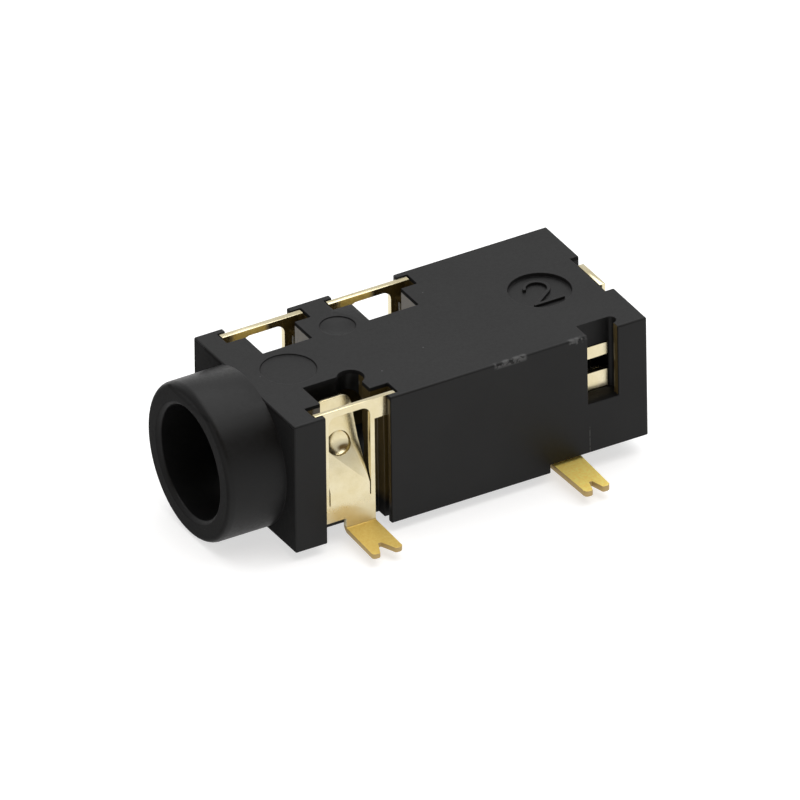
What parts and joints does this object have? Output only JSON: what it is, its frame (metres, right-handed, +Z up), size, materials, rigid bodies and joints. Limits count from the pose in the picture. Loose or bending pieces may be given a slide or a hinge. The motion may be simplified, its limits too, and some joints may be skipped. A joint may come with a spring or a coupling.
{
  "type": "audio jack socket",
  "caption": "Surface-mount socket for a 3.5 mm audio plug: rectangular moulded body with a round nose, side pockets and stamped spring contacts with forked solder feet.",
  "frame": {"origin": "centre of the body's underside, where it rests on the board", "axes": "+Y back along the body, away from the plug mouth; +Z up from the board; +X across, to the side with the sleeve and tip contacts"},
  "size_m": [0.0093, 0.0149, 0.005],
  "materials": {
    "housing_plastic": "black moulded plastic with a fine satin texture",
    "contact_gold": "gold-plated stamped sheet, bright on the plates and satin on the feet"
  },
  "bodies": {
    "root": {"housing": "housing_plastic", "ring_contact_front": "contact_gold", "ring_contact_rear": "contact_gold", "sleeve_contact": "contact_gold", "tip_contact": "contact_gold", "detect_contact": "contact_gold"}
  },
  "joints": []
}
